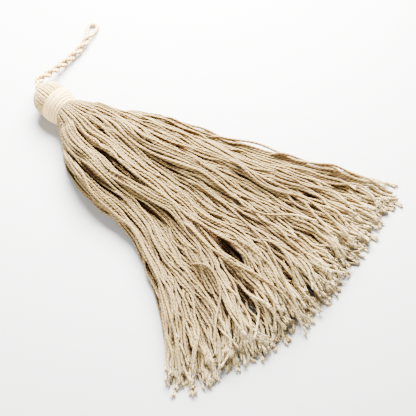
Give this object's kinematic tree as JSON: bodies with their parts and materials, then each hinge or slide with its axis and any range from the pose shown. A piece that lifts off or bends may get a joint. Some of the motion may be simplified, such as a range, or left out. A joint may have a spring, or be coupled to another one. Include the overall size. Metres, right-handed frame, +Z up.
{
  "type": "tassel",
  "caption": "Cotton yarn tassel lying flat, with a ribbed round head, a wound neck, a spread skirt of cut yarns and a twisted hanging loop.",
  "frame": {"origin": "on the surface that the tassel lies on, under the middle of its head and skirt, with the hanging loop left out", "axes": "+Z up from the surface, +Y from the skirt's cut ends towards the head, +X to the side that the hanging loop lies on"},
  "size_m": [0.1117, 0.1543, 0.0136],
  "materials": {
    "yarn_cotton": "matt plied cotton yarn, cream",
    "wrap_thread": "matt fine cotton thread, pale cream",
    "loop_cord": "matt plied cotton cord, pale cream"
  },
  "bodies": {
    "root": {"tassel_yarns": "yarn_cotton", "neck_wrap": "wrap_thread", "hanging_loop": "loop_cord"}
  },
  "joints": []
}
